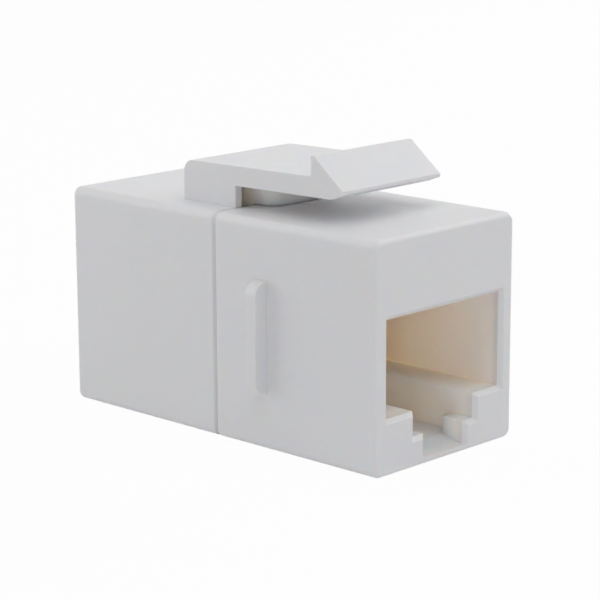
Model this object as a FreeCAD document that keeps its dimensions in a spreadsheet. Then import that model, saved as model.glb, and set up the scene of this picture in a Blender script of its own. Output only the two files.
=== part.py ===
import FreeCAD, Part
import math
import os
import Sketcher

# RJ45 inline coupler of the keystone size.
# X runs along the plugs, +X to the end that passes through the panel.
# Z is up, the latch is on top, and the origin is the middle of the underside.
# Each half is drawn looking outward from the seam at X = 0. The rear half is
# the same frame turned half a turn about Z.

DRIVING_SIZES = {
    # housing
    "housing_width": 14.5,
    "housing_height": 16.35,
    "half_length": 15.2,
    "seam_gap": 0.15,
    "long_edge_radius": 0.6,
    "end_edge_radius": 0.35,
    "seam_bevel": 0.25,
    # plug cavity
    "cavity_width": 11.9,
    "cavity_height": 6.85,
    "cavity_back": 3.0,
    "shelf_height": 3.95,
    "lead_in": 0.3,
    # channel for the plug's latch
    "channel_width": 6.4,
    "channel_depth": 9.2,
    "ledge_height": 2.15,
    "catch_floor": 0.9,
    "lip_depth": 2.05,
    "slot_width": 4.2,
    "slot_mouth_height": 0.45,
    # chamber behind the cavity, and the joint between the halves
    "chamber_width": 12.3,
    "chamber_floor": 1.4,
    "chamber_roof": 1.3,
    "comb_width": 9.7,
    "comb_height": 2.4,
    "comb_wall": 0.6,
    "tongue_thickness": 0.5,
    "tongue_length": 1.5,
    "fit_clearance": 0.05,
    # panel stops on the two sides
    "rib_start": 4.05,
    "rib_thickness": 1.0,
    "rib_proud": 1.15,
    "rib_bottom": 4.1,
    "rib_top": 12.15,
    "rib_corner": 1.0,
    # latch
    "latch_width": 10.15,
    "latch_gap": 1.5,
    "arm_rise": 0.25,
    "arm_thickness": 1.43,
    "root_rear": 5.35,
    "root_front": 0.12,
    "root_side_wall": 0.65,
    "root_rear_wall": 0.75,
    "root_bend_radius": 0.9,
    "catch_start": 7.15,
    "catch_height": 1.41,
    "crest_land": 0.37,
    "latch_reach": 10.2,
    "tip_height": 0.65,
    "tip_face": 0.25,
    "tip_chamfer": 1.1,
    "catch_corner": 0.15,
    "web_width": 6.4,
    "web_reach": 1.85,
    "web_corner": 1.3,
    "web_air": 0.06,
    # circuit board
    "board_thickness": 1.2,
    "hole_diameter": 0.7,
    # contact carrier
    "solder_relief": 0.5,
    "carrier_slot_width": 0.6,
    "slot_air": 0.1,
    "tip_slot_depth": 0.65,
    # spring contacts
    "contact_pitch": 1.02,
    "strip_width": 0.46,
    "strip_thickness": 0.3,
    "run_rise": 0.9,
    "riser_place": 1.35,
    "bend_radius": 0.3,
    "hairpin_radius": 0.45,
    "hairpin_place": 10.1,
    "beam_angle": 18.0,
    "beam_end": 2.6,
    "first_row": 1.1,
    "row_step": 1.2,
    "tail_length": 0.3,
}

# Places that follow from the driving sizes. The comb's room ends past the
# contacts' hairpins, by a wall of its own.
DERIVED_SIZES = {
    "ceiling": "shelf_height + cavity_height",
    "chamber_top": "housing_height - chamber_roof",
    "contact_run": "ceiling + run_rise",
    "comb_end": "hairpin_place + hairpin_radius + strip_thickness / 2 + slot_air + comb_wall",
}

CONTACTS = 8
TOUCH = 1e-4

document = FreeCAD.newDocument("rj45_inline_coupler")


def make_sheet():
    """Puts the sizes, in millimetres and degrees, in a spreadsheet."""
    sheet = document.addObject("Spreadsheet::Sheet", "dims")
    cells = {name: str(value) for name, value in DRIVING_SIZES.items()}
    cells.update({name: "=" + formula for name, formula in DERIVED_SIZES.items()})
    for row, (name, content) in enumerate(cells.items(), start=1):
        sheet.set("A%d" % row, name)
        sheet.set("B%d" % row, content)
        sheet.setAlias("B%d" % row, name)
    document.recompute()
    return sheet


def make_body(name, turned=False):
    """Starts one piece. A turned piece belongs to the rear half."""
    body = document.addObject("PartDesign::Body", name)
    body.Label = name
    half_turn = FreeCAD.Rotation(FreeCAD.Vector(0, 0, 1), 180 if turned else 0)
    body.Placement = FreeCAD.Placement(FreeCAD.Vector(0, 0, 0), half_turn)
    return body


def origin_feature(body, role):
    """Finds one origin plane or axis of a body."""
    return next(item for item in body.Origin.OriginFeatures if item.Role == role)


def make_sketch(body, name, role, offset=None):
    """Lays a sketch on an origin plane, moved along its normal by an expression."""
    sketch = body.newObject("Sketcher::SketchObject", name)
    sketch.AttachmentSupport = [(origin_feature(body, role), "")]
    sketch.MapMode = "FlatFace"
    if offset:
        sketch.setExpression(".AttachmentOffset.Base.z", offset)
    return sketch


def bind(sketch, constraint, expression):
    """Adds a constraint whose value follows an expression."""
    index = sketch.addConstraint(constraint)
    sketch.setExpression("Constraints[%d]" % index, expression)


def pin_point(sketch, line, end, across, up):
    """Ties one end of a line to two coordinates from the sketch's origin."""
    bind(sketch, Sketcher.Constraint("DistanceX", -1, 1, line, end, 1.0), across)
    bind(sketch, Sketcher.Constraint("DistanceY", -1, 1, line, end, 1.0), up)


def rectangle(sketch, left, right, bottom, top):
    """Draws a rectangle whose sides follow four expressions."""
    first = sketch.GeometryCount
    corners = [(0, 0), (1, 0), (1, 1), (0, 1)]
    for start, end in zip(corners, corners[1:] + corners[:1]):
        sketch.addGeometry(Part.LineSegment(FreeCAD.Vector(*start), FreeCAD.Vector(*end)))
    for side in range(4):
        following = first + (side + 1) % 4
        sketch.addConstraint(Sketcher.Constraint("Coincident", first + side, 2, following, 1))
        level = "Vertical" if side % 2 else "Horizontal"
        sketch.addConstraint(Sketcher.Constraint(level, first + side))
    pin_point(sketch, first, 1, left, bottom)
    pin_point(sketch, first + 2, 1, right, top)


def centred_rectangle(sketch, width, bottom, top):
    """Draws a rectangle centred on the vertical axis."""
    rectangle(sketch, "-(%s) / 2" % width, "(%s) / 2" % width, bottom, top)


def polygon(sketch, corners):
    """Draws a closed outline through corners given as pairs of expressions."""
    count = len(corners)
    turn = 2 * math.pi / count
    ring = [FreeCAD.Vector(math.cos(turn * step), math.sin(turn * step)) for step in range(count)]
    first = sketch.GeometryCount
    for start, end in zip(ring, ring[1:] + ring[:1]):
        sketch.addGeometry(Part.LineSegment(start, end))
    for side, (across, up) in enumerate(corners):
        following = first + (side + 1) % count
        sketch.addConstraint(Sketcher.Constraint("Coincident", first + side, 2, following, 1))
        pin_point(sketch, first + side, 1, across, up)


def rounded_rectangle(sketch, width, bottom, top, radius):
    """Draws a rectangle centred on the vertical axis with four round corners."""
    half, low, high, bend = 4.0, 1.0, 9.0, 0.5
    sides = [
        ((-half + bend, low), (half - bend, low)),
        ((half, low + bend), (half, high - bend)),
        ((half - bend, high), (-half + bend, high)),
        ((-half, high - bend), (-half, low + bend)),
    ]
    centres = [(half - bend, low + bend), (half - bend, high - bend)]
    centres += [(-half + bend, high - bend), (-half + bend, low + bend)]
    for start, end in sides:
        sketch.addGeometry(Part.LineSegment(FreeCAD.Vector(*start), FreeCAD.Vector(*end)))
    for corner, centre in enumerate(centres):
        circle = Part.Circle(FreeCAD.Vector(*centre), FreeCAD.Vector(0, 0, 1), bend)
        begin = (corner - 1) * math.pi / 2
        sketch.addGeometry(Part.ArcOfCircle(circle, begin, begin + math.pi / 2))
    for corner in range(4):
        arc = 4 + corner
        sketch.addConstraint(Sketcher.Constraint("Tangent", corner, 2, arc, 1))
        sketch.addConstraint(Sketcher.Constraint("Tangent", arc, 2, (corner + 1) % 4, 1))
        level = "Vertical" if corner % 2 else "Horizontal"
        sketch.addConstraint(Sketcher.Constraint(level, corner))
        if corner:
            sketch.addConstraint(Sketcher.Constraint("Equal", 4, arc))
    bind(sketch, Sketcher.Constraint("Radius", 4, bend), radius)
    bind(sketch, Sketcher.Constraint("DistanceX", -1, 1, 1, 1, half), "(%s) / 2" % width)
    bind(sketch, Sketcher.Constraint("DistanceX", -1, 1, 3, 1, -half), "-(%s) / 2" % width)
    bind(sketch, Sketcher.Constraint("DistanceY", -1, 1, 0, 1, low), bottom)
    bind(sketch, Sketcher.Constraint("DistanceY", -1, 1, 2, 1, high), top)


def extrude(body, kind, name, sketch, length, backward=False, symmetric=False):
    """Pads or pockets a sketch by a length expression and checks that it did work."""
    before = body.Tip.Shape.Volume if body.Tip else 0.0
    feature = body.newObject(kind, name)
    feature.Profile = sketch
    feature.setExpression("Length", length)
    feature.Reversed = backward
    if symmetric:
        feature.SideType = "Symmetric"
    document.recompute()
    if math.isclose(feature.Shape.Volume, before, abs_tol=1e-6):
        raise RuntimeError("%s changed nothing" % name)
    return feature


def pad(body, name, sketch, length, **options):
    """Adds material along the sketch's normal."""
    return extrude(body, "PartDesign::Pad", name, sketch, length, **options)


def pocket(body, name, sketch, length, **options):
    """Removes material against the sketch's normal."""
    return extrude(body, "PartDesign::Pocket", name, sketch, length, **options)


def dress(body, kind, name, amount, size, chosen):
    """Rounds or bevels the edges of the body's tip that the test chooses."""
    tip = body.Tip
    names = ["Edge%d" % (n + 1) for n, edge in enumerate(tip.Shape.Edges) if chosen(edge)]
    feature = body.newObject(kind, name)
    feature.Base = (tip, names)
    feature.setExpression(amount, size)
    document.recompute()
    return feature


def in_plane(edge, distance):
    """Tells whether an edge lies in the plane at this distance from the seam."""
    box = edge.BoundBox
    return max(abs(box.XMin - distance), abs(box.XMax - distance)) < TOUCH


def housing_block(body, size):
    """Makes the rounded outer block of one half."""
    outline = make_sketch(body, "outline", "YZ_Plane", "dims.seam_gap / 2")
    rounded_rectangle(outline, "dims.housing_width", "0", "dims.housing_height", "dims.long_edge_radius")
    pad(body, "block", outline, "dims.half_length - dims.seam_gap / 2")
    face = size["half_length"]
    dress(body, "PartDesign::Fillet", "end_round", "Radius", "dims.end_edge_radius",
          lambda edge: in_plane(edge, face))


def jack_opening(body, size):
    """Cuts the plug cavity, the latch channel behind its lips, and the lead-in."""
    cavity = make_sketch(body, "cavity_outline", "YZ_Plane", "dims.half_length")
    centred_rectangle(cavity, "dims.cavity_width", "dims.shelf_height", "dims.ceiling")
    pocket(body, "plug_cavity", cavity, "dims.half_length - dims.cavity_back")

    channel = make_sketch(body, "channel_outline", "YZ_Plane", "dims.half_length")
    centred_rectangle(channel, "dims.channel_width", "dims.ledge_height",
                      "dims.shelf_height + dims.cavity_height / 2")
    pocket(body, "latch_channel", channel, "dims.channel_depth")

    catch = make_sketch(body, "catch_outline", "YZ_Plane", "dims.half_length - dims.lip_depth")
    centred_rectangle(catch, "dims.channel_width", "dims.catch_floor", "dims.shelf_height")
    pocket(body, "latch_catch", catch, "dims.channel_depth - dims.lip_depth")

    slot = make_sketch(body, "slot_outline", "XZ_Plane")
    polygon(slot, [
        ("dims.half_length", "dims.slot_mouth_height"),
        ("dims.half_length", "dims.shelf_height"),
        ("dims.half_length - dims.lip_depth", "dims.shelf_height"),
        ("dims.half_length - dims.lip_depth", "dims.catch_floor"),
    ])
    pocket(body, "latch_slot", slot, "dims.slot_width", symmetric=True)

    face = size["half_length"]
    reach = size["cavity_width"] / 2 + TOUCH
    floor = size["slot_mouth_height"] + TOUCH

    def at_mouth(edge):
        box = edge.BoundBox
        inside = max(abs(box.YMin), abs(box.YMax)) < reach
        return in_plane(edge, face) and inside and box.ZMax > floor

    dress(body, "PartDesign::Chamfer", "mouth_lead_in", "Size", "dims.lead_in", at_mouth)


def inner_chamber(body):
    """Cuts the room for the carrier and the board, open at the seam."""
    chamber = make_sketch(body, "chamber_outline", "YZ_Plane", "dims.seam_gap / 2")
    centred_rectangle(chamber, "dims.chamber_width", "dims.chamber_floor", "dims.chamber_top")
    pocket(body, "chamber", chamber, "dims.cavity_back - dims.seam_gap / 2", backward=True)

    comb = make_sketch(body, "comb_outline", "YZ_Plane", "dims.seam_gap / 2")
    centred_rectangle(comb, "dims.comb_width", "dims.ceiling", "dims.ceiling + dims.comb_height")
    pocket(body, "comb_room", comb, "dims.comb_end - dims.seam_gap / 2", backward=True)


def front_housing(size):
    """The half that passes through the panel, with its two stops."""
    body = make_body("front_housing")
    housing_block(body, size)

    rib = make_sketch(body, "rib_outline", "YZ_Plane", "dims.rib_start")
    side = size["housing_width"] / 2
    proud = size["rib_proud"]
    blunt_outline(rib, (side - proud / 2, "dims.housing_width / 2 - dims.rib_proud / 2"),
                  (side + proud, "dims.housing_width / 2 + dims.rib_proud"),
                  (size["rib_bottom"], "dims.rib_bottom"), (size["rib_top"], "dims.rib_top"),
                  (size["rib_corner"], "dims.rib_corner"))
    far_rib = pad(body, "panel_stop", rib, "dims.rib_thickness")
    mirror_across(body, "both_panel_stops", [far_rib])

    jack_opening(body, size)
    inner_chamber(body)

    rebate = make_sketch(body, "rebate_outline", "YZ_Plane", "dims.seam_gap / 2")
    margin = "dims.tongue_thickness + dims.fit_clearance"
    centred_rectangle(rebate, "dims.chamber_width + 2 * (%s)" % margin,
                      "dims.chamber_floor - (%s)" % margin, "dims.chamber_top + " + margin)
    pocket(body, "rebate", rebate, "dims.tongue_length + dims.fit_clearance", backward=True)
    return body


def blunt_outline(sketch, base, crest, low, high, bend):
    """Draws a rectangle whose two corners at the crest are round.

    Each argument is a pair: a place in millimetres, and the expression that it follows.
    """
    way = 1 if crest[0] > base[0] else -1
    turned = crest[0] - way * bend[0]
    low_start, high_start = (-math.pi / 2, 0) if way > 0 else (math.pi, math.pi / 2)
    add_line(sketch, (base[0], low[0]), (turned, low[0]))
    add_arc(sketch, (turned, low[0] + bend[0]), bend[0], low_start, low_start + math.pi / 2)
    add_line(sketch, (crest[0], low[0] + bend[0]), (crest[0], high[0] - bend[0]))
    add_arc(sketch, (turned, high[0] - bend[0]), bend[0], high_start, high_start + math.pi / 2)
    add_line(sketch, (turned, high[0]), (base[0], high[0]))
    add_line(sketch, (base[0], high[0]), (base[0], low[0]))
    join_curves(sketch, [0, 1, 2, 3, 4], [(4, 5), (5, 0)])
    for line, level in ((0, "Horizontal"), (2, "Vertical"), (4, "Horizontal"), (5, "Vertical")):
        sketch.addConstraint(Sketcher.Constraint(level, line))
    sketch.addConstraint(Sketcher.Constraint("Equal", 1, 3))
    bind(sketch, Sketcher.Constraint("Radius", 1, bend[0]), bend[1])
    bind(sketch, Sketcher.Constraint("DistanceX", -1, 1, 5, 1, base[0]), base[1])
    bind(sketch, Sketcher.Constraint("DistanceX", -1, 1, 2, 1, crest[0]), crest[1])
    bind(sketch, Sketcher.Constraint("DistanceY", -1, 1, 0, 1, low[0]), low[1])
    bind(sketch, Sketcher.Constraint("DistanceY", -1, 1, 4, 1, high[0]), high[1])


def mirror_across(body, name, originals):
    """Repeats features on the other side of the middle plane."""
    mirrored = body.newObject("PartDesign::Mirrored", name)
    mirrored.Originals = originals
    mirrored.MirrorPlane = (origin_feature(body, "XZ_Plane"), [""])
    body.Tip = mirrored
    document.recompute()
    return mirrored


def joint_of(sketch, one, two, kind):
    """Works out the constraint that joins two neighbouring curves where they meet."""
    first, second = sketch.Geometry[one], sketch.Geometry[two]
    ends = {1: first.StartPoint, 2: first.EndPoint}
    others = {1: second.StartPoint, 2: second.EndPoint}
    pairs = [(end, other) for end in ends for other in others]
    end, other = min(pairs, key=lambda pair: ends[pair[0]].distanceToPoint(others[pair[1]]))
    return Sketcher.Constraint(kind, one, end, two, other)


def join_curves(sketch, smooth, corners=()):
    """Joins a chain of curves smoothly, and other pairs of curves at a corner."""
    joints = [joint_of(sketch, one, two, "Tangent") for one, two in zip(smooth, smooth[1:])]
    joints += [joint_of(sketch, one, two, "Coincident") for one, two in corners]
    sketch.addConstraint(joints)


def rear_housing(size):
    """The half that carries the joint's tongue and the latch, one moulding."""
    body = make_body("rear_housing", turned=True)
    housing_block(body, size)
    seam = size["seam_gap"] / 2
    dress(body, "PartDesign::Chamfer", "seam_edge", "Size", "dims.seam_bevel",
          lambda edge: in_plane(edge, seam))

    tongue = make_sketch(body, "tongue_outline", "YZ_Plane", "dims.seam_gap / 2")
    centred_rectangle(tongue, "dims.chamber_width + 2 * dims.tongue_thickness",
                      "dims.chamber_floor - dims.tongue_thickness",
                      "dims.chamber_top + dims.tongue_thickness")
    centred_rectangle(tongue, "dims.chamber_width", "dims.chamber_floor", "dims.chamber_top")
    pad(body, "tongue", tongue, "dims.seam_gap + dims.tongue_length", backward=True)

    latch(body, size)
    jack_opening(body, size)
    inner_chamber(body)
    latch_cores(body)
    return body


def arm_level(place):
    """Gives the height, as an expression, of the arm's underside at a place along it."""
    lean = "dims.arm_rise * (dims.root_rear - (%s)) / (dims.root_rear + dims.latch_reach)" % place
    return "dims.housing_height + dims.latch_gap + " + lean


def latch(body, size):
    """The flexing latch: root, arm, catch, and the blunt web under the arm."""
    profile = make_sketch(body, "latch_profile", "XZ_Plane")
    inside = "dims.housing_height - dims.long_edge_radius"
    rear, tip, catch = "dims.root_rear", "-dims.latch_reach", "-dims.catch_start"
    under_tip = arm_level(tip)
    over_catch = arm_level(catch) + " + dims.arm_thickness"
    crest = over_catch + " + dims.catch_height"
    chamfer = tip + " + dims.tip_chamfer"
    polygon(profile, [
        (rear, inside),
        (rear, arm_level(rear) + " + dims.arm_thickness"),
        (catch, over_catch),
        (catch, crest),
        (catch + " - dims.crest_land", crest),
        (tip, under_tip + " + dims.tip_height"),
        (tip, under_tip + " + dims.tip_height - dims.tip_face"),
        (chamfer, arm_level(chamfer)),
        ("dims.root_front", arm_level("dims.root_front")),
        ("dims.root_front", inside),
    ])
    pad(body, "latch_body", profile, "dims.latch_width", symmetric=True)

    root_top = size["housing_height"] + size["latch_gap"] + size["arm_thickness"]
    half = size["latch_width"] / 2

    def root_bend(edge):
        box = edge.BoundBox
        at_top = max(abs(box.ZMin - root_top), abs(box.ZMax - root_top)) < TOUCH
        return in_plane(edge, size["root_rear"]) and at_top

    def catch_corner(edge):
        box = edge.BoundBox
        at_side = min(abs(box.YMin - half), abs(box.YMax + half)) < TOUCH
        return in_plane(edge, -size["catch_start"]) and at_side and box.ZLength > size["catch_height"] / 2

    dress(body, "PartDesign::Fillet", "root_bend", "Radius", "dims.root_bend_radius", root_bend)
    dress(body, "PartDesign::Fillet", "catch_corners", "Radius", "dims.catch_corner", catch_corner)

    web = make_sketch(body, "web_outline", "XY_Plane", "dims.housing_height + dims.web_air")
    across = size["web_width"] / 2
    inside_root = (2 * size["root_front"], "2 * dims.root_front")
    blunt_outline(web, inside_root, (-size["web_reach"], "-dims.web_reach"),
                  (-across, "-dims.web_width / 2"), (across, "dims.web_width / 2"),
                  (size["web_corner"], "dims.web_corner"))
    pad(body, "web_nose", web, "dims.latch_gap - dims.web_air + dims.arm_thickness / 2")


def latch_cores(body):
    """Cores out the latch root on both sides of its web, open toward the seam."""
    cores = make_sketch(body, "core_outline", "XY_Plane", "dims.chamber_top")
    outer = "(dims.latch_width / 2 - dims.root_side_wall)"
    front = "-(dims.tongue_length + dims.seam_gap)"
    rear = "dims.root_rear - dims.root_rear_wall"
    rectangle(cores, front, rear, "-" + outer, "-dims.web_width / 2")
    rectangle(cores, front, rear, "dims.web_width / 2", outer)
    depth = "%s - dims.chamber_top" % arm_level(rear)
    pocket(body, "root_cores", cores, depth, backward=True)


def contact_rows(front):
    """Gives the two heights, as expressions, at which a jack's contacts cross the board."""
    way = "+" if front else "-"
    near = "dims.contact_run %s dims.first_row" % way
    return near, "%s %s dims.row_step" % (near, way)


def circuit_board():
    """The board across the middle, with two rows of plated holes for each jack."""
    body = make_body("circuit_board")
    outline = make_sketch(body, "board_outline", "YZ_Plane")
    centred_rectangle(outline, "dims.chamber_width - 2 * dims.fit_clearance",
                      "dims.chamber_floor + dims.fit_clearance", "dims.chamber_top - dims.fit_clearance")
    pad(body, "board", outline, "dims.board_thickness", symmetric=True)

    rows = []
    for front in (True, False):
        rows += zip(contact_rows(front), (front, not front))
    for number, (height, odd) in enumerate(rows, start=1):
        start = "-(%d / 2 - 0.5) * dims.contact_pitch" % CONTACTS
        if not odd:
            start += " + dims.contact_pitch"
        hole = make_sketch(body, "hole_%d" % number, "YZ_Plane", "dims.board_thickness")
        hole.addGeometry(Part.Circle(FreeCAD.Vector(1, 1), FreeCAD.Vector(0, 0, 1), 0.3))
        bind(hole, Sketcher.Constraint("DistanceX", -1, 1, 0, 3, 1.0), start)
        bind(hole, Sketcher.Constraint("DistanceY", -1, 1, 0, 3, 1.0), height)
        bind(hole, Sketcher.Constraint("Diameter", 0, 0.6), "dims.hole_diameter")
        first = pocket(body, "hole_cut_%d" % number, hole, "2 * dims.board_thickness")
        repeat_across(body, "hole_row_%d" % number, [first], CONTACTS // 2, "2 * dims.contact_pitch")
    return body


def repeat_across(body, name, originals, count, spacing):
    """Repeats features across the width, from -Y to +Y."""
    pattern = body.newObject("PartDesign::LinearPattern", name)
    pattern.Originals = originals
    pattern.Direction = (origin_feature(body, "Y_Axis"), [""])
    pattern.Mode = "Extent"
    pattern.Occurrences = count
    pattern.setExpression("Length", "%d * %s" % (count - 1, spacing))
    body.Tip = pattern
    document.recompute()
    return pattern


def beam_tip_height():
    """Gives the height, as an expression, at which a contact's free end rests."""
    drop = "dims.hairpin_radius * (1 + cos(dims.beam_angle * 1 deg))"
    length = "(dims.hairpin_place + dims.hairpin_radius * sin(dims.beam_angle * 1 deg) - dims.beam_end)"
    return "dims.contact_run - %s - %s * tan(dims.beam_angle * 1 deg)" % (drop, length)


def contact_carrier(name, front):
    """The insert that closes the cavity's back and holds the contacts in its comb."""
    body = make_body(name, turned=not front)
    face = "dims.board_thickness / 2"
    back = "dims.cavity_back - dims.fit_clearance"

    wall = make_sketch(body, "wall_outline", "YZ_Plane", face)
    centred_rectangle(wall, "dims.chamber_width - 2 * dims.fit_clearance",
                      "dims.chamber_floor + dims.fit_clearance", "dims.chamber_top - dims.fit_clearance")
    pad(body, "wall", wall, "%s - %s" % (back, face))

    slab = make_sketch(body, "comb_outline", "YZ_Plane", face)
    centred_rectangle(slab, "dims.comb_width - 2 * dims.fit_clearance", "dims.ceiling",
                      "dims.ceiling + dims.comb_height - dims.fit_clearance")
    pad(body, "comb", slab, "dims.comb_end - dims.fit_clearance - " + face)

    far_row = contact_rows(front)[1]
    room = "(dims.strip_thickness / 2 + dims.slot_air)"
    run_low = "dims.contact_run - " + room
    run_high = "dims.contact_run + " + room
    row_limit = "%s %s %s" % (far_row, "+" if front else "-", room)
    riser_front = "dims.riser_place + " + room
    slot_end = "dims.comb_end - dims.comb_wall"
    opening = "dims.ceiling - dims.slot_air"
    start = face + " - dims.slot_air"
    first_contact = "(%d / 2 - 0.5) * dims.contact_pitch" % CONTACTS

    outline = [(back, run_low), (back, opening), (slot_end, opening), (slot_end, run_high)]
    if front:
        outline += [(riser_front, run_high), (riser_front, row_limit)]
        outline += [(start, row_limit), (start, run_low)]
    else:
        outline += [(start, run_high), (start, row_limit)]
        outline += [(riser_front, row_limit), (riser_front, run_low)]
    slot = make_sketch(body, "contact_slot_outline", "XZ_Plane", first_contact)
    polygon(slot, outline)
    slot_cut = pocket(body, "contact_slot", slot, "dims.carrier_slot_width", symmetric=True)

    tips = make_sketch(body, "tip_slot_outline", "XZ_Plane", first_contact)
    rectangle(tips, back + " - dims.tip_slot_depth", back + " + dims.slot_air",
              beam_tip_height() + " - 2 * " + room, opening)
    tip_cut = pocket(body, "tip_slot", tips, "dims.carrier_slot_width", symmetric=True)
    repeat_across(body, "slots", [slot_cut, tip_cut], CONTACTS, "dims.contact_pitch")

    relief = make_sketch(body, "relief_outline", "YZ_Plane", face)
    lowest = contact_rows(False)[1] + " - dims.hole_diameter"
    highest = contact_rows(True)[1] + " + dims.hole_diameter"
    centred_rectangle(relief, "(%d + 1) * dims.contact_pitch" % CONTACTS, lowest, highest)
    pocket(body, "solder_relief", relief, "dims.solder_relief", backward=True)
    return body


def spring_contact(name, number, front, size):
    """One contact: a strip from the board, up or down, along the comb and back as a beam."""
    body = make_body(name, turned=not front)
    side = "" if front else "-"
    place = "%s(%d - (%d + 1) / 2) * dims.contact_pitch" % (side, number, CONTACTS)
    body.setExpression(".Placement.Base.y", place)
    near_row, far_row = contact_rows(front)
    row = near_row if number % 2 else far_row
    tail = "dims.board_thickness / 2 + dims.tail_length"

    path = make_sketch(body, "path", "XZ_Plane")
    draw_path(path, front, number, row, tail, size)

    strip = make_sketch(body, "strip", "YZ_Plane", "-(%s)" % tail)
    centred_rectangle(strip, "dims.strip_width", "%s - dims.strip_thickness / 2" % row,
                      "%s + dims.strip_thickness / 2" % row)
    sweep = body.newObject("PartDesign::AdditivePipe", "bent_strip")
    sweep.Profile = strip
    sweep.Spine = path
    sweep.Mode = "Standard"
    body.Tip = sweep
    document.recompute()
    return body


def draw_path(sketch, front, number, row, tail, size):
    """Draws the middle line of a contact, from the tail to the end of the beam."""
    run = size["shelf_height"] + size["cavity_height"] + size["run_rise"]
    way = 1 if front else -1
    level = run + way * (size["first_row"] + (0 if number % 2 else size["row_step"]))
    begin = -(size["board_thickness"] / 2 + size["tail_length"])
    riser, bend = size["riser_place"], size["bend_radius"]
    loop, place = size["hairpin_radius"], size["hairpin_place"]
    slant = math.radians(size["beam_angle"])
    beam_top = (place + loop * math.sin(slant), run - loop - loop * math.cos(slant))
    beam_low = (size["beam_end"], beam_top[1] - (beam_top[0] - size["beam_end"]) * math.tan(slant))

    add_line(sketch, (begin, level), (riser - bend, level))
    add_arc(sketch, (riser - bend, level - way * bend), bend, math.pi / 2 * way, 0)
    add_line(sketch, (riser, level - way * bend), (riser, run + way * bend))
    add_arc(sketch, (riser + bend, run + way * bend), bend, math.pi, math.pi + way * math.pi / 2)
    add_line(sketch, (riser + bend, run), (place, run))
    add_arc(sketch, (place, run - loop), loop, math.pi / 2, slant - math.pi / 2)
    add_line(sketch, beam_low, beam_top)
    join_curves(sketch, [0, 1, 2, 3, 4, 5, 6])

    for line, direction in ((0, "Horizontal"), (2, "Vertical"), (4, "Horizontal")):
        sketch.addConstraint(Sketcher.Constraint(direction, line))
    bind(sketch, Sketcher.Constraint("DistanceX", -1, 1, 0, 1, begin), "-(%s)" % tail)
    bind(sketch, Sketcher.Constraint("DistanceY", -1, 1, 0, 1, level), row)
    bind(sketch, Sketcher.Constraint("DistanceX", -1, 1, 2, 1, riser), "dims.riser_place")
    bind(sketch, Sketcher.Constraint("DistanceY", -1, 1, 4, 1, run), "dims.contact_run")
    bind(sketch, Sketcher.Constraint("DistanceX", -1, 1, 4, 2, place), "dims.hairpin_place")
    bind(sketch, Sketcher.Constraint("Radius", 1, bend), "dims.bend_radius")
    bind(sketch, Sketcher.Constraint("Radius", 3, bend), "dims.bend_radius")
    bind(sketch, Sketcher.Constraint("Radius", 5, loop), "dims.hairpin_radius")
    bind(sketch, Sketcher.Constraint("DistanceX", -1, 1, 6, 1, beam_low[0]), "dims.beam_end")
    bind(sketch, Sketcher.Constraint("Angle", 6, slant), "dims.beam_angle * 1 deg")


def add_line(sketch, start, end):
    """Adds a straight stretch to a sketch."""
    sketch.addGeometry(Part.LineSegment(FreeCAD.Vector(*start), FreeCAD.Vector(*end)))


def add_arc(sketch, centre, radius, start_angle, end_angle):
    """Adds a round stretch between two angles, whichever comes first."""
    low, high = sorted((start_angle, end_angle))
    circle = Part.Circle(FreeCAD.Vector(*centre), FreeCAD.Vector(0, 0, 1), radius)
    sketch.addGeometry(Part.ArcOfCircle(circle, low, high))


def build():
    """Makes every piece of the coupler."""
    make_sheet()
    size = DRIVING_SIZES
    pieces = [front_housing(size), rear_housing(size), circuit_board()]
    for half, front in (("front", True), ("rear", False)):
        pieces.append(contact_carrier(half + "_contact_carrier", front))
        for number in range(1, CONTACTS + 1):
            pieces.append(spring_contact("%s_contact_%d" % (half, number), number, front, size))
    document.recompute()
    return pieces


def export(pieces):
    """Checks every object and writes one STEP file for each piece."""
    for item in document.Objects:
        if {"Invalid", "Error"} & set(item.State):
            raise RuntimeError("%s is not sound: %s" % (item.Name, item.State))
    os.makedirs("parts", exist_ok=True)
    for piece in pieces:
        shape = piece.Shape
        if shape.isNull() or not shape.isValid() or len(shape.Solids) != 1:
            raise RuntimeError("%s is not one sound solid" % piece.Label)
        shape.exportStep("parts/%s.step" % piece.Label)


export(build())
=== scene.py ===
import logging
import math
from dataclasses import dataclass
from enum import Enum
from typing import Dict, List, Optional, Sequence, Tuple, Union

import bmesh
import bpy
from mathutils import Matrix, Vector

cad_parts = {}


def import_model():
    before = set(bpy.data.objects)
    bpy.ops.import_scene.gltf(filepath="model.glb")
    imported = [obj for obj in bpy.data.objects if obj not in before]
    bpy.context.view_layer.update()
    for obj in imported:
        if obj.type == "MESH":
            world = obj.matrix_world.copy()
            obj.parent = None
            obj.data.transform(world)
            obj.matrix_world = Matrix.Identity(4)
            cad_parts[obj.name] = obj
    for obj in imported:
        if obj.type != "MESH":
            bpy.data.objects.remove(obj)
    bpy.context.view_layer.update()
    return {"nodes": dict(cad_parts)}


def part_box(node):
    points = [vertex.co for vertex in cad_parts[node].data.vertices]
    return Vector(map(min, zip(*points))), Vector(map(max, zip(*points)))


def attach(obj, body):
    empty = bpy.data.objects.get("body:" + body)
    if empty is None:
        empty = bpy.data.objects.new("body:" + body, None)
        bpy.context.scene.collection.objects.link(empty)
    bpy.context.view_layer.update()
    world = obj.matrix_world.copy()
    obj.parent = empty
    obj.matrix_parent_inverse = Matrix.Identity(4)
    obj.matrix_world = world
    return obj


# Dresses the inline coupler and sets it in a plain white studio.
# Lengths are in metres unless a description says otherwise, in the frame of the
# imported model: +X runs along the plugs to the end that passes through the
# panel, and +Z is up.

LOG = logging.getLogger("coupler")

MM = 0.001
CONTACTS = 8
WHITE = (1.0, 1.0, 1.0)

# The part of its range that a noise mostly fills.
NOISE_RANGE = (0.3, 0.7)

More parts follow.
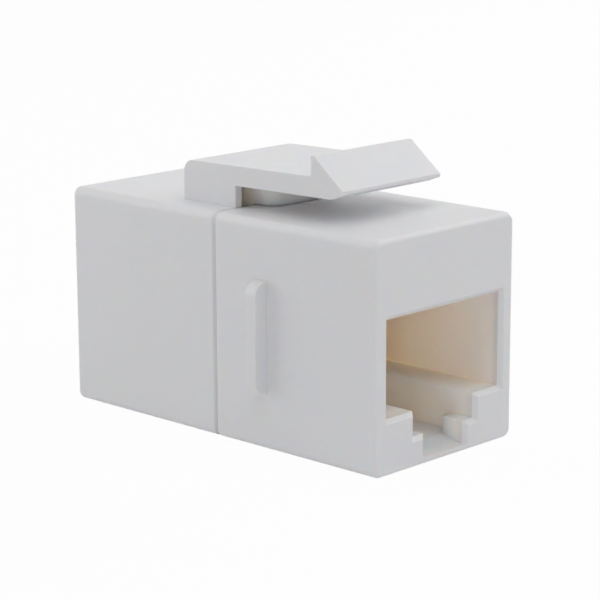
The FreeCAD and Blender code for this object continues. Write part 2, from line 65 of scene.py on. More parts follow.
# How often the renderer looks round a point to soften an edge there.
EDGE_SAMPLES = 6

# Corners of a mesh that are no further apart are merged.
SAME_POINT = 1e-7

Colour = Tuple[float, float, float]
Range = Tuple[float, float]
Socket = bpy.types.NodeSocket
Value = Union[Socket, float, Colour]
Inputs = Dict[Union[int, str], Value]
Piece = bpy.types.Object
Nodes = Dict[str, Piece]


def mm(*lengths: float) -> Tuple[float, ...]:
    """Gives lengths in metres that are written in millimetres."""
    return tuple(length * MM for length in lengths)


def direction(azimuth: float, elevation: float) -> Vector:
    """Gives the way from the coupler to a camera or a lamp.

    Args:
        azimuth: Degrees round from facing the near side, towards the front end.
        elevation: Degrees above the level.

    Returns:
        A vector that is one unit long.
    """
    turn = math.radians(azimuth)
    tilt = math.radians(elevation)
    return Vector((math.sin(turn) * math.cos(tilt), -math.cos(turn) * math.cos(tilt), math.sin(tilt)))


def add_object(name: str, data: bpy.types.ID) -> Piece:
    """Adds an object to the scene.

    Args:
        name: The object's name.
        data: Its mesh, lamp or camera data.

    Returns:
        The object.
    """
    made = bpy.data.objects.new(name, data)
    bpy.context.scene.collection.objects.link(made)
    return made


class Axis(Enum):
    """One coordinate of a point on the coupler."""

    X = 0
    Y = 1
    Z = 2


class Jack(Enum):
    """One of the two jacks, with the way along X that it opens."""

    FRONT = 1
    REAR = -1

    def carrier(self, nodes: Nodes) -> Piece:
        """Gives the node of this jack's contact carrier."""
        return nodes[f"{self.name.lower()}_contact_carrier"]

    def contacts(self, nodes: Nodes) -> List[Piece]:
        """Gives the nodes of this jack's contacts, in order."""
        return [nodes[f"{self.name.lower()}_contact_{number}"] for number in range(1, CONTACTS + 1)]


@dataclass(frozen=True)
class Span:
    """A stretch along one axis, with soft ends.

    Attributes:
        axis: The axis that it lies along.
        low: Where it starts.
        high: Where it ends.
        soft: The width of the change at each end, inside the stretch.
    """

    axis: Axis
    low: float
    high: float
    soft: float


@dataclass(frozen=True)
class Relief:
    """How a surface's fine relief catches the light.

    Attributes:
        depth: How deep the relief is.
        strength: How much of it shows.
        edge: Radius to which sharp edges look rounded, where they do.
    """

    depth: float
    strength: float
    edge: float = 0.0


@dataclass
class Graph:
    """Builds the nodes of one tree and joins them up.

    Attributes:
        tree: The tree that is filled.
    """

    tree: bpy.types.NodeTree

    def node(self, kind: str, inputs: Optional[Inputs] = None, **settings: object) -> bpy.types.Node:
        """Adds a node.

        Args:
            kind: The node's type name.
            inputs: What its inputs are fed with, by their names or numbers.
            **settings: Properties of the node to set.

        Returns:
            The new node.
        """
        made = self.tree.nodes.new(kind)
        for name, value in settings.items():
            setattr(made, name, value)
        for key, value in (inputs or {}).items():
            self.feed(made.inputs[key], value)
        return made

    def feed(self, target: Socket, value: Value) -> None:
        """Joins a socket to an input, or sets the input to a plain value.

        Args:
            target: The input.
            value: An output, a number or a colour.
        """
        if isinstance(value, Socket):
            self.tree.links.new(value, target)
        elif target.type == "RGBA":
            target.default_value = (*value, 1.0)
        else:
            target.default_value = value

    def maths(self, operation: str, *values: Value) -> Socket:
        """Works out one operation on numbers.

        Args:
            operation: The name of the operation.
            *values: The numbers, in order.

        Returns:
            The result.
        """
        return self.node("ShaderNodeMath", dict(enumerate(values)), operation=operation).outputs[0]

    def seen_plainly(self) -> Socket:
        """Tells whether a ray comes from the camera, or by a mirror or clear surface."""
        path = self.node("ShaderNodeLightPath").outputs
        either = self.maths("MAXIMUM", path["Is Camera Ray"], path["Is Glossy Ray"])
        return self.maths("MAXIMUM", either, path["Is Transmission Ray"])


@dataclass
class MaterialGraph(Graph):
    """Builds the nodes of one material.

    Attributes:
        tree: The material's tree.
        material: The material.
    """

    material: bpy.types.Material

    @classmethod
    def start(cls, name: str) -> "MaterialGraph":
        """Starts a material with an empty tree.

        Args:
            name: The material's name.

        Returns:
            The graph of the new material.
        """
        material = bpy.data.materials.new(name)
        material.use_nodes = True
        material.node_tree.nodes.clear()
        return cls(material.node_tree, material)

    def place(self) -> Socket:
        """Gives the place of the shaded point on the object."""
        return self.node("ShaderNodeTexCoord").outputs["Object"]

    def coordinate(self, axis: Axis) -> Socket:
        """Gives one coordinate of the shaded point."""
        return self.node("ShaderNodeSeparateXYZ", {0: self.place()}).outputs[axis.value]

    def ramp(self, value: Value, source: Range, target: Range = (0.0, 1.0)) -> Socket:
        """Maps a value smoothly from one range to another, and holds it at the ends.

        Args:
            value: The value to map.
            source: Where the ramp starts and ends.
            target: The results there.

        Returns:
            The result.
        """
        inputs = {
            "Value": value,
            "From Min": source[0],
            "From Max": source[1],
            "To Min": target[0],
            "To Max": target[1],
        }
        return self.node("ShaderNodeMapRange", inputs, interpolation_type="SMOOTHSTEP").outputs["Result"]

    def along(self, span: Span) -> Socket:
        """Tells how far a point lies within a stretch.

        Args:
            span: The stretch.

        Returns:
            One well inside it, and none outside it.
        """
        coordinate = self.coordinate(span.axis)
        above = self.ramp(coordinate, (span.low, span.low + span.soft))
        below = self.ramp(coordinate, (span.high - span.soft, span.high), (1.0, 0.0))
        return self.maths("MULTIPLY", above, below)

    def within(self, *spans: Span) -> Socket:
        """Tells how far a point lies within several stretches at once.

        Args:
            *spans: The stretches.

        Returns:
            One well inside all of them, and none outside any of them.
        """
        share, *others = [self.along(span) for span in spans]
        for other in others:
            share = self.maths("MULTIPLY", share, other)
        return share

    def grain(self, size: float, layers: float = 3.0) -> Socket:
        """Gives a fractal noise that is fixed to the object.

        Args:
            size: The size of its largest grain.
            layers: How many finer layers it has.

        Returns:
            A value from 0 to 1.
        """
        inputs = {"Vector": self.place(), "Scale": 1.0 / size, "Detail": layers}
        return self.node("ShaderNodeTexNoise", inputs).outputs["Fac"]

    def mix(self, share: Value, first: Value, second: Value) -> Socket:
        """Mixes two colours.

        Args:
            share: How much of the second colour there is.
            first: The first colour.
            second: The second colour.

        Returns:
            The mixed colour.
        """
        made = self.node("ShaderNodeMix", {"Factor": share}, data_type="RGBA")
        colours = [item for item in made.inputs if item.type == "RGBA"]
        self.feed(colours[0], first)
        self.feed(colours[1], second)
        return next(item for item in made.outputs if item.type == "RGBA")

    def relief(self, height: Value, relief: Relief) -> Socket:
        """Gives a normal that follows a fine relief, over softened edges.

        Args:
            height: The height at each point, from 0 to 1.
            relief: How the relief catches the light.

        Returns:
            The normal.
        """
        inputs = {"Height": height, "Distance": relief.depth, "Strength": relief.strength}
        if relief.edge:
            soft = self.node("ShaderNodeBevel", {"Radius": relief.edge}, samples=EDGE_SAMPLES)
            inputs["Normal"] = soft.outputs[0]
        return self.node("ShaderNodeBump", inputs).outputs[0]

    def surface(self, **inputs: Value) -> bpy.types.Material:
        """Ends the tree with the standard surface.

        Args:
            **inputs: The surface's inputs, with spaces written as underscores.

        Returns:
            The finished material.
        """
        named = {name.replace("_", " "): value for name, value in inputs.items()}
        return self.end(self.node("ShaderNodeBsdfPrincipled", named))

    def end(self, shader: bpy.types.Node) -> bpy.types.Material:
        """Ends the tree with a shader, and gives the finished material."""
        self.node("ShaderNodeOutputMaterial", {"Surface": shader.outputs[0]})
        return self.material


@dataclass(frozen=True)
class HousingFinish:
    """White moulded plastic with a satin sheen, with warm light painted down inside the jacks and in the
    latch's root, and shade painted in the gap between the halves.

    Attributes:
        outer: Colour of the outside.
        painted_mouth_light: Painted light just inside a jack's opening, a little lighter and warmer than
            the outside.
        middle: Painted warm light half way down a jack.
        painted_deep_light: Painted warm light at the back of a jack.
        painted_sill_light: Painted light that lightens the shelves and what lies below them, at the
            opening.
        painted_channel_light: The same painted light further down the jack.
        root: Painted warm light inside the hollow root of the latch, reaching onto the top just under
            its arm.
        painted_gap_shade: Painted shade down in the gap between the halves.
        cloud: Colour that all of it drifts towards, in faint clouds.
        cloud_size: Size of the clouds.
        cloud_layers: How many finer layers the clouds have.
        cloud_share: How much of the clouds' colour there is.
        jack_room: The room inside the halves that has the jacks' painted light.
        entry: Depth over which those colours set in.
        half_way: Depth over which the painted light just inside gives way to that half way down.
        far_way: Depth over which the painted light half way down gives way to that at the back.
        low_way: Depth over which the painted light on the shelves gives way to that further down.
        shelf_line: Height over which that lower painted light ends, just above the shelves.
        low_share: How much of that lower painted light there is below it.
        root_room: The hollow root of the latch, which has that painted light.
        gap_edge: How far the painted shade of the gap reaches onto the halves' faces, fading.
        gap_top: How far below the roof the painted shade of the gap ends, after fading as far.
        patch: Size of the patches that are smoother or duller.
        polish: The lowest and the highest roughness.
        index: How strongly it bends light.
        milky: How much of the light goes through the plastic and not off its skin.
        light_path: How far red, green and blue light go in it, beside each other.
        red_path: How far red light goes under the plain outside, and in the thin walls
            round the jacks and in the latch's root.
        grain: Size of the moulding's grain.
        grain_layers: How many finer layers the grain has.
        relief: How the grain and the edges catch the light.
    """

    outer: Colour = (0.785, 0.787, 0.805)
    painted_mouth_light: Colour = (0.83, 0.82, 0.815)
    middle: Colour = (0.92, 0.86, 0.82)
    painted_deep_light: Colour = (0.97, 0.83, 0.75)
    painted_sill_light: Colour = (0.98, 0.95, 0.92)
    painted_channel_light: Colour = (0.99, 0.90, 0.81)
    root: Colour = (0.98, 0.90, 0.85)
    painted_gap_shade: Colour = (0.50, 0.50, 0.52)
    cloud: Colour = (0.55, 0.56, 0.60)
    cloud_size: float = 5.0 * MM
    cloud_layers: float = 2.0
    cloud_share: float = 0.03
    jack_room: Tuple[Span, ...] = (
        Span(Axis.Y, *mm(-6.7, 6.7, 0.2)),
        Span(Axis.Z, *mm(0.4, 15.2, 0.05)),
    )
    entry: Range = mm(0.0, 1.2)
    half_way: Range = mm(0.5, 6.0)
    far_way: Range = mm(5.0, 12.5)
    low_way: Range = mm(1.0, 5.0)
    shelf_line: Range = mm(3.96, 3.99)
    low_share: float = 0.7
    root_room: Tuple[Span, ...] = (
        Span(Axis.X, *mm(-5.0, 2.6, 0.6)),
        Span(Axis.Y, *mm(-4.5, 4.5, 0.05)),
        Span(Axis.Z, *mm(15.2, 17.95, 0.02)),
    )
    gap_edge: float = 0.01 * MM
    gap_top: float = 0.1 * MM
    patch: float = 1.5 * MM
    polish: Range = (0.40, 0.50)
    index: float = 1.5
    milky: float = 1.0
    light_path: Tuple[float, float, float] = (1.0, 0.72, 0.52)
    red_path: Range = mm(0.15, 2.5)
    grain: float = 0.22 * MM
    grain_layers: float = 2.0
    relief: Relief = Relief(depth=0.012 * MM, strength=0.25, edge=0.09 * MM)

    def make(self, low: Vector, high: Vector) -> bpy.types.Material:
        """Makes the material.

        Args:
            low: The lowest corner of the half that has no latch.
            high: Its highest corner.

        Returns:
            The material.
        """
        graph = MaterialGraph.start("white moulded plastic")
        depth = graph.maths("SUBTRACT", high.x, graph.maths("ABSOLUTE", graph.coordinate(Axis.X)))
        inside = graph.maths("MULTIPLY", graph.within(*self.jack_room), graph.ramp(depth, self.entry))
        hollow = graph.within(*self.root_room)
        gap = graph.within(
            Span(Axis.X, -low.x - self.gap_edge, low.x + self.gap_edge, self.gap_edge),
            Span(Axis.Z, 0.0, high.z - self.gap_top, self.gap_top),
        )
        # Painted light: down inside the jacks the colour grows lighter and warmer with depth, standing
        # in for light that comes through the thin walls.
        colour = graph.mix(inside, self.outer, self.painted_jack_light(graph, depth))
        # Painted light: the latch's hollow root, and the top just under its arm, get a lighter warm
        # colour for light that comes through the plastic.
        colour = graph.mix(hollow, colour, self.root)
        # Painted shade: the gap between the halves is darkened where shade falls in it.
        colour = graph.mix(gap, colour, self.painted_gap_shade)
        clouds = graph.grain(self.cloud_size, self.cloud_layers)
        thin = graph.maths("MAXIMUM", inside, hollow)
        return graph.surface(
            Base_Color=graph.mix(graph.maths("MULTIPLY", clouds, self.cloud_share), colour, self.cloud),
            Roughness=graph.ramp(graph.grain(self.patch), NOISE_RANGE, self.polish),
            IOR=self.index,
            Subsurface_Weight=self.milky,
            Subsurface_Radius=self.light_path,
            Subsurface_Scale=graph.ramp(thin, (0.0, 1.0), self.red_path),
            Normal=graph.relief(graph.grain(self.grain, self.grain_layers), self.relief),
        )

    def painted_jack_light(self, graph: MaterialGraph, depth: Socket) -> Socket:
        """Gives the painted warm light down inside the jacks.

        Args:
            graph: The material's graph.
            depth: Distance of the shaded point from the nearer end face.

        Returns:
            The painted colour, lighter on the shelves and below them.
        """
        # Painted warm light on the walls, and a lighter painted light on the shelves and below them.
        upper = graph.mix(graph.ramp(depth, self.half_way), self.painted_mouth_light, self.middle)
        upper = graph.mix(graph.ramp(depth, self.far_way), upper, self.painted_deep_light)
        lower = graph.mix(graph.ramp(depth, self.low_way), self.painted_sill_light, self.painted_channel_light)
        low = graph.ramp(graph.coordinate(Axis.Z), self.shelf_line, (self.low_share, 0.0))
        return graph.mix(low, upper, lower)


@dataclass(frozen=True)
class CarrierFinish:
    """Ivory moulded plastic, matt.

    Attributes:
        colour: Its colour.
        shade: The colour of its darker clouds.
        cloud_size: Size of the clouds.
        patch: Size of the patches that are smoother or duller.
        polish: The lowest and the highest roughness.
        grain: Size of the moulding's grain.
        relief: How the grain and the edges catch the light.
    """

    colour: Colour = (0.74, 0.66, 0.54)
    shade: Colour = (0.66, 0.57, 0.45)
    cloud_size: float = 2.0 * MM
    patch: float = 0.8 * MM
    polish: Range = (0.52, 0.62)
    grain: float = 0.15 * MM
    relief: Relief = Relief(depth=0.01 * MM, strength=0.3, edge=0.05 * MM)

    def make(self) -> bpy.types.Material:
        """Makes the material."""
        graph = MaterialGraph.start("ivory moulded plastic")
        return graph.surface(
            Base_Color=graph.mix(graph.grain(self.cloud_size), self.colour, self.shade),
            Roughness=graph.ramp(graph.grain(self.patch), NOISE_RANGE, self.polish),
            Normal=graph.relief(graph.grain(self.grain), self.relief),
        )


@dataclass(frozen=True)
class BoardFinish:
    """Green mask over glass laminate, with the pale laminate at the edges.

    Attributes:
        mask: Colour of the mask on both faces.
        weave: Its colour over the threads of the glass.
        core: Colour of the cut edge.
        mask_thickness: Thickness of the mask, as it shows at the cut edge.
        thread: The spacing of the threads.
        polish: Roughness of the mask and of the cut edge.
        relief: How the weave catches the light.
    """

    mask: Colour = (0.012, 0.11, 0.045)
    weave: Colour = (0.02, 0.15, 0.065)
    core: Colour = (0.50, 0.46, 0.26)
    mask_thickness: float = 0.035 * MM
    thread: float = 0.5 * MM
    polish: Range = (0.28, 0.75)
    relief: Relief = Relief(depth=0.01 * MM, strength=0.2)

    def make(self, face: float) -> bpy.types.Material:
        """Makes the material.

        Args:
            face: Distance of the board's faces from its middle.

        Returns:
            The material.
        """
        graph = MaterialGraph.start("green board laminate")
        pitch = 2.0 * math.pi / self.thread
        waves = [
            graph.maths("SINE", graph.maths("MULTIPLY", graph.coordinate(axis), pitch))
            for axis in (Axis.Y, Axis.Z)
        ]
        cloth = graph.ramp(graph.maths("MULTIPLY", *waves), (-1.0, 1.0))
        limit = face - self.mask_thickness
        cut = graph.along(Span(Axis.X, -limit, limit, self.mask_thickness))
        return graph.surface(
            Base_Color=graph.mix(cut, graph.mix(cloth, self.mask, self.weave), self.core),
            Roughness=graph.ramp(cut, (0.0, 1.0), self.polish),
            Normal=graph.relief(cloth, self.relief),
        )


@dataclass(frozen=True)
class MetalFinish:
    """A plated or soldered metal.

    Attributes:
        name: The material's name.
        colour: Its colour.
        tarnish: Its colour in the duller patches.
        polish: The lowest and the highest roughness.
        patch: Size of the duller patches.
        patch_range: Where in the noise they set in and are at their dullest.
        grain: Size of the metal's grain.
        relief: How the grain catches the light.
    """

    name: str
    colour: Colour
    tarnish: Colour
    polish: Range
    patch: float = 1.2 * MM
    patch_range: Range = (0.35, 0.7)
    grain: float = 0.1 * MM
    relief: Relief = Relief(depth=0.004 * MM, strength=0.2)

    def make(self) -> bpy.types.Material:
        """Makes the material."""
        graph = MaterialGraph.start(self.name)
        dull = graph.ramp(graph.grain(self.patch), self.patch_range)
        return graph.surface(
            Base_Color=graph.mix(dull, self.colour, self.tarnish),
            Metallic=1.0,
            Roughness=graph.ramp(dull, (0.0, 1.0), self.polish),
            Normal=graph.relief(graph.grain(self.grain), self.relief),
        )


GOLD = MetalFinish(
    "gold plating",
    colour=(0.83, 0.60, 0.25),
    tarnish=(0.72, 0.49, 0.18),
    polish=(0.20, 0.34),
)
SOLDER = MetalFinish(
    "solder",
    colour=(0.66, 0.66, 0.68),
    tarnish=(0.50, 0.50, 0.52),
    polish=(0.24, 0.42),
)


def dress(piece: Piece, material: bpy.types.Material) -> Piece:
    """Gives the whole of a piece one material.

    Args:
        piece: The piece.
        material: Its material.

    Returns:
        The piece.
    """
    slots = piece.data.materials
    if not slots:
        slots.append(material)
    for index in range(len(slots)):
        slots[index] = material
    return piece


@dataclass
class Housings:
    """The two moulded halves, with the stops and the latch.

    Attributes:
        finish: Their plastic.
        plain: The node of the half that has no latch.
        latched: The node of the half that has it.
    """

    finish: HousingFinish = HousingFinish()
    plain: str = "front_housing"
    latched: str = "rear_housing"

    def build(self, nodes: Nodes) -> List[Piece]:
        """Dresses both halves.

        Args:
            nodes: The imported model's nodes.

        Returns:
            The halves.
        """
        material = self.finish.make(*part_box(self.plain))
        return [dress(nodes[name], material) for name in (self.plain, self.latched)]


@dataclass
class JackInsides:
    """The carrier and the eight spring contacts of each jack.

    Attributes:
        finish: The carriers' plastic.
    """

    finish: CarrierFinish = CarrierFinish()

    def build(self, nodes: Nodes, plating: bpy.types.Material) -> List[Piece]:
        """Dresses the carriers and the contacts.

        Args:
            nodes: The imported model's nodes.
            plating: The contacts' material.

        Returns:
            The carriers and the contacts.
        """
        material = self.finish.make()
        carriers = [dress(jack.carrier(nodes), material) for jack in Jack]
        contacts = [dress(contact, plating) for jack in Jack for contact in jack.contacts(nodes)]
        return carriers + contacts


@dataclass
class RepeatTree:
    """A node tree that sets one small round form on every point of a mesh.

    Attributes:
        name: The tree's name.
        sides: How many sides the form has.
    """

    name: str
    sides: int = 20

    def make(self) -> bpy.types.NodeTree:
        """Makes the tree, with inputs for its sizes and its material."""
        tree = bpy.data.node_groups.new(self.name, "GeometryNodeTree")
        tree.interface.new_socket("Points", in_out="INPUT", socket_type="NodeSocketGeometry")
        for label in ("Foot Radius", "Top Radius", "Height", "Way"):
            tree.interface.new_socket(label, in_out="INPUT", socket_type="NodeSocketFloat")
        tree.interface.new_socket("Finish", in_out="INPUT", socket_type="NodeSocketMaterial")
        tree.interface.new_socket("Pieces", in_out="OUTPUT", socket_type="NodeSocketGeometry")

        graph = Graph(tree)
        given = graph.node("NodeGroupInput")
        angle = graph.maths("MULTIPLY", given.outputs["Way"], math.pi / 2)
        turn = graph.node("ShaderNodeCombineXYZ", {"Y": angle})
        spread = graph.node(
            "GeometryNodeInstanceOnPoints",
            {
                "Points": given.outputs["Points"],
                "Instance": self.form(graph, given),
                "Rotation": turn.outputs[0],
            },
        )
        real = graph.node("GeometryNodeRealizeInstances", {0: spread.outputs[0]})
        finish = graph.node(
            "GeometryNodeSetMaterial",
            {"Geometry": real.outputs[0], "Material": given.outputs["Finish"]},
        )
        graph.node("NodeGroupOutput", {0: finish.outputs[0]})
        return tree

    def form(self, graph: Graph, given: bpy.types.Node) -> Socket:
        """Adds the form that is repeated, which each kind of tree has its own way to do.

        Args:
            graph: The tree that is built.
            given: The node of the tree's inputs.

        Returns:
            The form, with its axis along Z.
        """
        raise NotImplementedError


class ConeTree(RepeatTree):
    """A tree whose form is a blunt cone that stands on its foot."""

    def form(self, graph: Graph, given: bpy.types.Node) -> Socket:
        """Adds the cone.

        Args:
            graph: The tree that is built.
            given: The node of the tree's inputs.

        Returns:
            The cone.
        """
        inputs = {
            "Vertices": self.sides,
            "Radius Bottom": given.outputs["Foot Radius"],
            "Radius Top": given.outputs["Top Radius"],
            "Depth": given.outputs["Height"],
        }
        return graph.node("GeometryNodeMeshCone", inputs).outputs["Mesh"]


class RingTree(RepeatTree):
    """A tree whose form is a flat ring between the two radii."""

    def form(self, graph: Graph, given: bpy.types.Node) -> Socket:
        """Adds the ring.

        Args:
            graph: The tree that is built.
            given: The node of the tree's inputs.

        Returns:
            The ring.
        """
        radii = (given.outputs["Foot Radius"], given.outputs["Top Radius"])
        middle = graph.maths("MULTIPLY", graph.maths("ADD", *radii), 0.5)
        circle = graph.node(
            "GeometryNodeCurvePrimitiveCircle",
            {"Resolution": self.sides, "Radius": middle},
        )
        profile = graph.node(
            "GeometryNodeCurvePrimitiveQuadrilateral",
            {"Width": graph.maths("SUBTRACT", *radii), "Height": given.outputs["Height"]},
        )
        sweep = graph.node(
            "GeometryNodeCurveToMesh",
            {"Curve": circle.outputs[0], "Profile Curve": profile.outputs[0]},
        )
        return sweep.outputs[0]


def repeat(
    name: str,
    tree: bpy.types.NodeTree,
    places: Sequence[Vector],
    sizes: Dict[str, float],
    material: bpy.types.Material,
) -> bpy.types.Mesh:
    """Sets a tree's form on each place and turns the result into a plain mesh.

    Args:
        name: The mesh's name.
        tree: A tree that a RepeatTree made.
        places: Where the forms go.
        sizes: The tree's sizes, by their labels.
        material: The forms' material.

    Returns:
        The mesh, with its doubles merged and its faces outward.
    """
    points = bpy.data.meshes.new(name + " points")
    points.from_pydata([tuple(place) for place in places], [], [])
    carrier = add_object(name + " points", points)
    modifier = carrier.modifiers.new("repeat", "NODES")
    modifier.node_group = tree
    keys = {item.name: item.identifier for item in tree.interface.items_tree if item.in_out == "INPUT"}
    for label, size in sizes.items():
        modifier[keys[label]] = size
    modifier[keys["Finish"]] = material
    view = bpy.context.evaluated_depsgraph_get()
    mesh = bpy.data.meshes.new_from_object(carrier.evaluated_get(view))
    mesh.name = name
    mesh.materials.clear()
    mesh.materials.append(material)
    bpy.data.objects.remove(carrier)

    work = bmesh.new()
    work.from_mesh(mesh)
    bmesh.ops.remove_doubles(work, verts=work.verts, dist=SAME_POINT)
    bmesh.ops.recalc_face_normals(work, faces=work.faces)
    work.to_mesh(mesh)
    work.free()
    return mesh


@dataclass
class Board:
    """The circuit board with its plated rings and soldered tails.

    Attributes:
        finish: The board's laminate.
        solder: The joints' metal.
        hole_radius: Radius of the plated holes.
        ring_width: Width of the plated ring round a hole.
        ring_thickness: Thickness of the plating.
        joint_foot: Radius of a joint at the board.
        joint_top: Radius of a joint at its top, round the tail.
        joint_height: Height of a joint.
        tip: Length of a tail's end, which its middle is taken from.
    """

    finish: BoardFinish = BoardFinish()
    solder: MetalFinish = SOLDER
    hole_radius: float = 0.35 * MM
    ring_width: float = 0.15 * MM
    ring_thickness: float = 0.03 * MM
    joint_foot: float = 0.44 * MM
    joint_top: float = 0.27 * MM
    joint_height: float = 0.24 * MM
    tip: float = 0.01 * MM

    def build(self, nodes: Nodes, plating: bpy.types.Material) -> List[Piece]:
        """Dresses the board and adds its metal.

        Args:
            nodes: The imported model's nodes.
            plating: The rings' material.

        Returns:
            The board, its rings and its joints.
        """
        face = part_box("circuit_board")[1].x
        board = dress(nodes["circuit_board"], self.finish.make(face))
        tails = {jack: self.tails(jack, nodes) for jack in Jack}
        holes = [tail for row in tails.values() for tail in row]
        return [board, self.rings(holes, face, plating), self.joints(tails, face)]

    def tails(self, jack: Jack, nodes: Nodes) -> List[Vector]:
        """Finds where the contacts of a jack come through the board.

        Args:
            jack: The jack.
            nodes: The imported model's nodes.

        Returns:
            The middle of each contact's soldered end.
        """
        ends = []
        for contact in jack.contacts(nodes):
            corners = [vertex.co for vertex in contact.data.vertices]
            last = min(corner.x * jack.value for corner in corners)
            end = [corner for corner in corners if corner.x * jack.value < last + self.tip]
            ends.append(sum(end, Vector()) / len(end))
        return ends

    def rings(self, holes: Sequence[Vector], face: float, plating: bpy.types.Material) -> Piece:
        """Lays a plated ring round both ends of each hole.

        Args:
            holes: The middles of the holes.
            face: Distance of the board's faces from its middle.
            plating: The rings' material.

        Returns:
            The piece.
        """
        height = face + self.ring_thickness / 2
        places = [Vector((way * height, hole.y, hole.z)) for hole in holes for way in (1, -1)]
        sizes = {
            "Foot Radius": self.hole_radius + self.ring_width,
            "Top Radius": self.hole_radius,
            "Height": self.ring_thickness,
            "Way": 1.0,
        }
        tree = RingTree("plated ring").make()
        return self.add(repeat("plated_rings", tree, places, sizes, plating))

    def joints(self, tails: Dict[Jack, List[Vector]], face: float) -> Piece:
        """Sets a solder joint round each tail, on the face that it comes out of.

        Args:
            tails: The contacts' soldered ends.
            face: Distance of the board's faces from its middle.

        Returns:
            The piece.
        """
        tree = ConeTree("solder joint").make()
        material = self.solder.make()
        work = bmesh.new()
        for jack, ends in tails.items():
            foot = -jack.value * (face + self.ring_thickness)
            places = [Vector((foot, end.y, end.z)) for end in ends]
            sizes = {
                "Foot Radius": self.joint_foot,
                "Top Radius": self.joint_top,
                "Height": self.joint_height,
                "Way": float(-jack.value),
            }
            work.from_mesh(repeat("solder joints", tree, places, sizes, material))
        mesh = bpy.data.meshes.new("solder_joints")
        work.to_mesh(mesh)
        work.free()
        mesh.materials.append(material)
        return self.add(mesh)

    def add(self, mesh: bpy.types.Mesh) -> Piece:
        """Adds a piece of the board's metal to the model.

        Args:
            mesh: The piece's mesh, which has its name.

        Returns:
            The piece.
        """
        piece = add_object(mesh.name, mesh)
        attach(piece, "root")
        return piece


@dataclass
class PhotoCamera:
    """The camera, where the photograph's outline puts it.

    Attributes:
        azimuth: Degrees round from facing the near side, towards the front end.
        elevation: Degrees above the level.
        roll: Degrees that the picture is turned.
        distance: Distance from the aim.
        across: Shift of the view across the picture.
        up: Shift of the view up the picture.
        aim: Height of the aim above the underside.
        nearest: Distance at which the view starts.
        focal: Focal length, in pixels of the photograph.
        picture: Width of the photograph, in pixels.
        sensor: Width of the sensor, in millimetres.
    """

    azimuth: float = 43.7544
    elevation: float = 13.0763
    roll: float = 0.2372
    distance: float = 163.5605 * MM
    across: float = -0.9396 * MM
    up: float = -0.8003 * MM
    aim: float = 8.0 * MM
    nearest: float = 1.0 * MM
    focal: float = 2236.4691
    picture: int = 600
    sensor: float = 36.0

    def build(self) -> None:
        """Adds the camera and makes it the scene's own."""
        back = direction(self.azimuth, self.elevation)
        level = direction(self.azimuth + 90.0, 0.0)
        top = back.cross(level)
        roll = math.radians(self.roll)
        side = level * math.cos(roll) - top * math.sin(roll)
        rise = level * math.sin(roll) + top * math.cos(roll)
        eye = Vector((0.0, 0.0, self.aim)) - side * self.across - rise * self.up + back * self.distance

        data = bpy.data.cameras.new("camera")
        data.sensor_width = self.sensor
        data.lens = self.focal * self.sensor / self.picture
        data.clip_start = self.nearest
        camera = add_object("camera", data)
        turn = Matrix((side, rise, back)).transposed().to_4x4()
        camera.matrix_world = Matrix.Translation(eye) @ turn
        bpy.context.scene.camera = camera


@dataclass(frozen=True)
class Lamp:
    """A soft square lamp that faces the coupler.

    Attributes:
        name: The lamp's name.
        azimuth: Degrees round from facing the near side, towards the front end.
        elevation: Degrees above the level.
        size: The length of its sides.
        power: Its power in watts.
        distance: How far away it hangs.
    """

    name: str
    azimuth: float
    elevation: float
    size: float
    power: float
    distance: float = 0.45

    def build(self, aim: Vector) -> None:
        """Hangs the lamp.

        Args:
            aim: The point that it faces.
        """
        data = bpy.data.lights.new(self.name, "AREA")
        data.size = self.size
        data.energy = self.power
        lamp = add_object(self.name, data)
        lamp.location = direction(self.azimuth, self.elevation) * self.distance
        lamp.rotation_euler = (lamp.location - aim).to_track_quat("Z", "Y").to_euler()


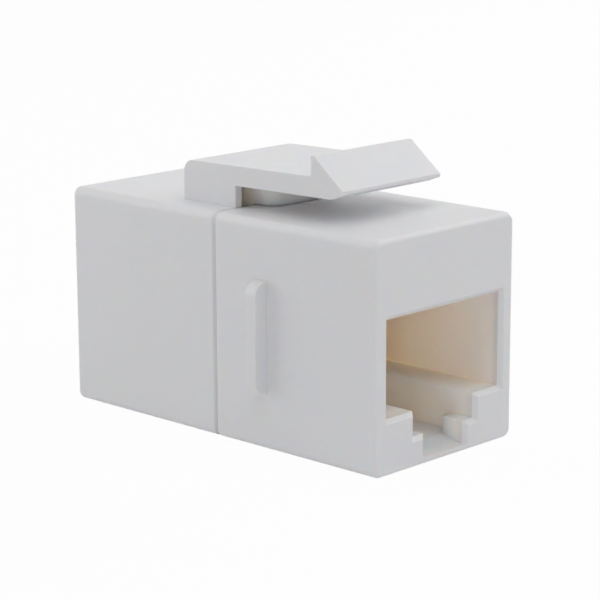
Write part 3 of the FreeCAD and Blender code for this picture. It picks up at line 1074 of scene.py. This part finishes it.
@dataclass
class Studio:
    """The plain white floor, the even light all round and the lamps.

    Attributes:
        reach: Half of the floor's width.
        tiles: How many faces the floor has along each side.
        floor_colour: Colour of the floor.
        floor_shade: Colour that the floor drifts towards, in faint clouds.
        cloud_size: Size of the clouds.
        cloud_share: How much of their colour there is.
        floor_glow: How much of the floor's look is plain white.
        sky: Brightness of the light all round.
        aim: The point that the lamps face.
        lamps: The lamps.
    """

    reach: float = 3.0
    tiles: int = 8
    floor_colour: Colour = (0.88, 0.88, 0.88)
    floor_shade: Colour = (0.7, 0.7, 0.72)
    cloud_size: float = 0.05
    cloud_share: float = 0.02
    floor_glow: float = 0.96
    sky: float = 0.21
    aim: Tuple[float, float, float] = (0.0, 0.0, 10.0 * MM)
    lamps: Tuple[Lamp, ...] = (
        Lamp("key", azimuth=20.0, elevation=60.0, size=0.30, power=0.36),
        Lamp("overhead", azimuth=230.0, elevation=80.0, size=0.34, power=0.33),
        Lamp("front high", azimuth=110.0, elevation=45.0, size=0.30, power=0.43),
        Lamp("near side", azimuth=-50.0, elevation=14.0, size=0.24, power=0.29),
        Lamp("rear end", azimuth=-80.0, elevation=12.0, size=0.30, power=0.32),
        Lamp("far side", azimuth=180.0, elevation=14.0, size=0.30, power=1.0),
        Lamp("fill", azimuth=45.0, elevation=8.0, size=0.14, power=0.24),
    )

    def build(self) -> None:
        """Adds everything round the coupler."""
        self.floor()
        self.surroundings()
        for lamp in self.lamps:
            lamp.build(Vector(self.aim))
        bpy.context.scene.view_settings.view_transform = "Standard"

    def floor(self) -> None:
        """Lays the floor, which looks plain white but for the shadow on it."""
        work = bmesh.new()
        bmesh.ops.create_grid(work, x_segments=self.tiles, y_segments=self.tiles, size=self.reach)
        mesh = bpy.data.meshes.new("floor")
        work.to_mesh(mesh)
        work.free()

        graph = MaterialGraph.start("white floor")
        clouds = graph.ramp(graph.grain(self.cloud_size), NOISE_RANGE, (0.0, self.cloud_share))
        colour = graph.mix(clouds, self.floor_colour, self.floor_shade)
        matt = graph.node("ShaderNodeBsdfDiffuse", {"Color": colour})
        glow = graph.node("ShaderNodeEmission", {"Color": WHITE})
        share = graph.maths("MULTIPLY", graph.seen_plainly(), self.floor_glow)
        both = graph.node("ShaderNodeMixShader", {0: share, 1: matt.outputs[0], 2: glow.outputs[0]})
        mesh.materials.append(graph.end(both))
        add_object("floor", mesh)

    def surroundings(self) -> None:
        """Sets the even light all round, which looks plain white."""
        world = bpy.data.worlds.new("white surroundings")
        world.use_nodes = True
        bpy.context.scene.world = world
        graph = Graph(world.node_tree)
        background = world.node_tree.nodes["Background"]
        strength = graph.maths("MULTIPLY_ADD", graph.seen_plainly(), 1.0 - self.sky, self.sky)
        graph.feed(background.inputs["Color"], WHITE)
        graph.feed(background.inputs["Strength"], strength)


def main() -> None:
    """Dresses the coupler and sets the scene."""
    logging.basicConfig(level=logging.INFO, format="%(name)s: %(message)s")
    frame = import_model()
    nodes = frame["nodes"]
    plating = GOLD.make()
    pieces = [
        *Housings().build(nodes),
        *JackInsides().build(nodes, plating),
        *Board().build(nodes, plating),
    ]
    for piece in pieces:
        mesh = piece.data
        LOG.info("%s has %d faces in %s", piece.name, len(mesh.polygons), mesh.materials[0].name)
    Studio().build()
    PhotoCamera().build()


if __name__ == "__main__":
    main()
